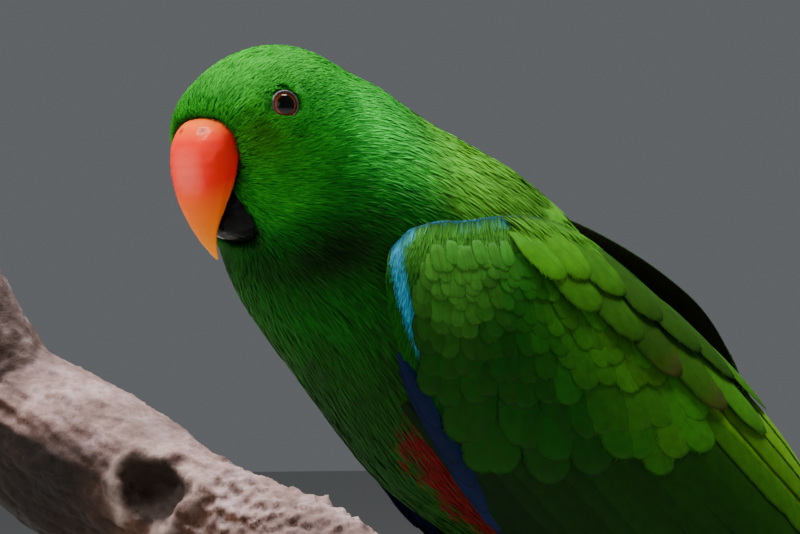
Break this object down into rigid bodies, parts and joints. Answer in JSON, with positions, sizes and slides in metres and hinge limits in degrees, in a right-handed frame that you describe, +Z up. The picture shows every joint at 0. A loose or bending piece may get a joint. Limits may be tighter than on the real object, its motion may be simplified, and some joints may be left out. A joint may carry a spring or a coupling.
{
  "type": "life-size eclectus parrot display model on a perch and stand",
  "caption": "Life-size still model of a perched male eclectus parrot with head turned to its left, folded wings, a length of branch and a plain round stand",
  "frame": {"origin": "centre of the underside of the stand's round base, on the surface that the model stands on", "axes": "+Z up, the bird's body faces -X, its left side is -Y"},
  "size_m": [0.2791, 0.2734, 0.289],
  "materials": {
    "plumage": "soft satin green feathers",
    "foot_skin": "dark grey scaly skin",
    "claw_horn": "smooth black horn",
    "coral_bill": "glossy coral horn, yellow at the tip",
    "black_bill": "glossy black horn",
    "eye": "wet and glossy, black pupil and dark amber iris",
    "bark": "rough weathered bark",
    "stand_wood": "dark satin lacquer",
    "stand_steel": "brushed"
  },
  "bodies": {
    "root": {"head": "plumage", "neck": "plumage", "torso": "plumage", "wing_left": "plumage", "wing_right": "plumage", "tail": "plumage", "leg_left": "plumage", "leg_right": "plumage", "foot_left": "foot_skin", "foot_right": "foot_skin", "claw_left_1": "claw_horn", "claw_left_2": "claw_horn", "claw_left_3": "claw_horn", "claw_left_4": "claw_horn", "claw_right_1": "claw_horn", "claw_right_2": "claw_horn", "claw_right_3": "claw_horn", "claw_right_4": "claw_horn", "bill_upper": "coral_bill", "bill_lower": "black_bill", "eye_left": "eye", "eye_right": "eye", "perch": "bark", "stand_base": "stand_wood", "stand_rod": "stand_steel"}
  },
  "joints": []
}
